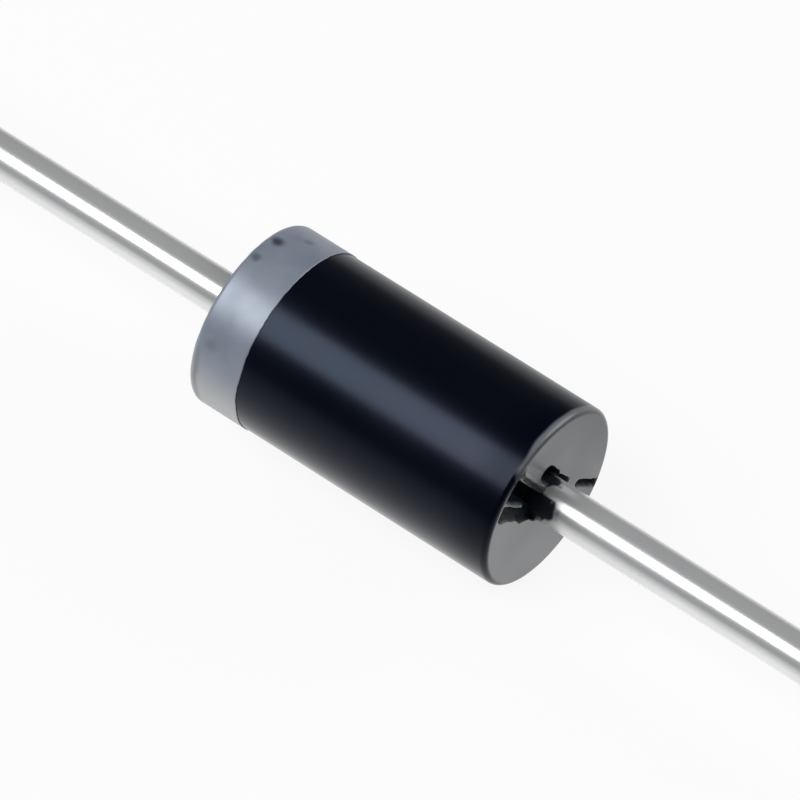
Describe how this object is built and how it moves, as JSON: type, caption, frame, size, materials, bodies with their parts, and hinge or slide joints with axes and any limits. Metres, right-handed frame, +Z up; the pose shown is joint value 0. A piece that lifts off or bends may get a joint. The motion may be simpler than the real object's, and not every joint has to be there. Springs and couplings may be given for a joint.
{
  "type": "axial rectifier diode",
  "caption": "Round black moulded rectifier diode with a silver band round its cathode end and a straight tinned wire lead out of each end.",
  "frame": {"origin": "middle of the moulded case, on the axis of the leads", "axes": "+X along the leads towards the anode lead's free end, away from the cathode band; +Z up as the diode lies, with the broken gate of the anode end turned 120.9 degrees from +Y about +X"},
  "size_m": [0.0604, 0.0052, 0.0052],
  "materials": {
    "epoxy": "fine-grained moulded black, soft sheen",
    "band_ink": "printed silver-grey ink, satin",
    "tinned_wire": "bright tin over drawn copper wire, faint draw lines",
    "silicon": "lapped dark grey, sawn sides",
    "solder": "dull grey",
    "silicone": "milky white, smooth"
  },
  "bodies": {
    "root": {"moulded_body": "epoxy", "cathode_band": "band_ink", "anode_lead": "tinned_wire", "cathode_lead": "tinned_wire", "silicon_die": "silicon", "anode_solder": "solder", "cathode_solder": "solder", "junction_coating": "silicone"}
  },
  "joints": []
}
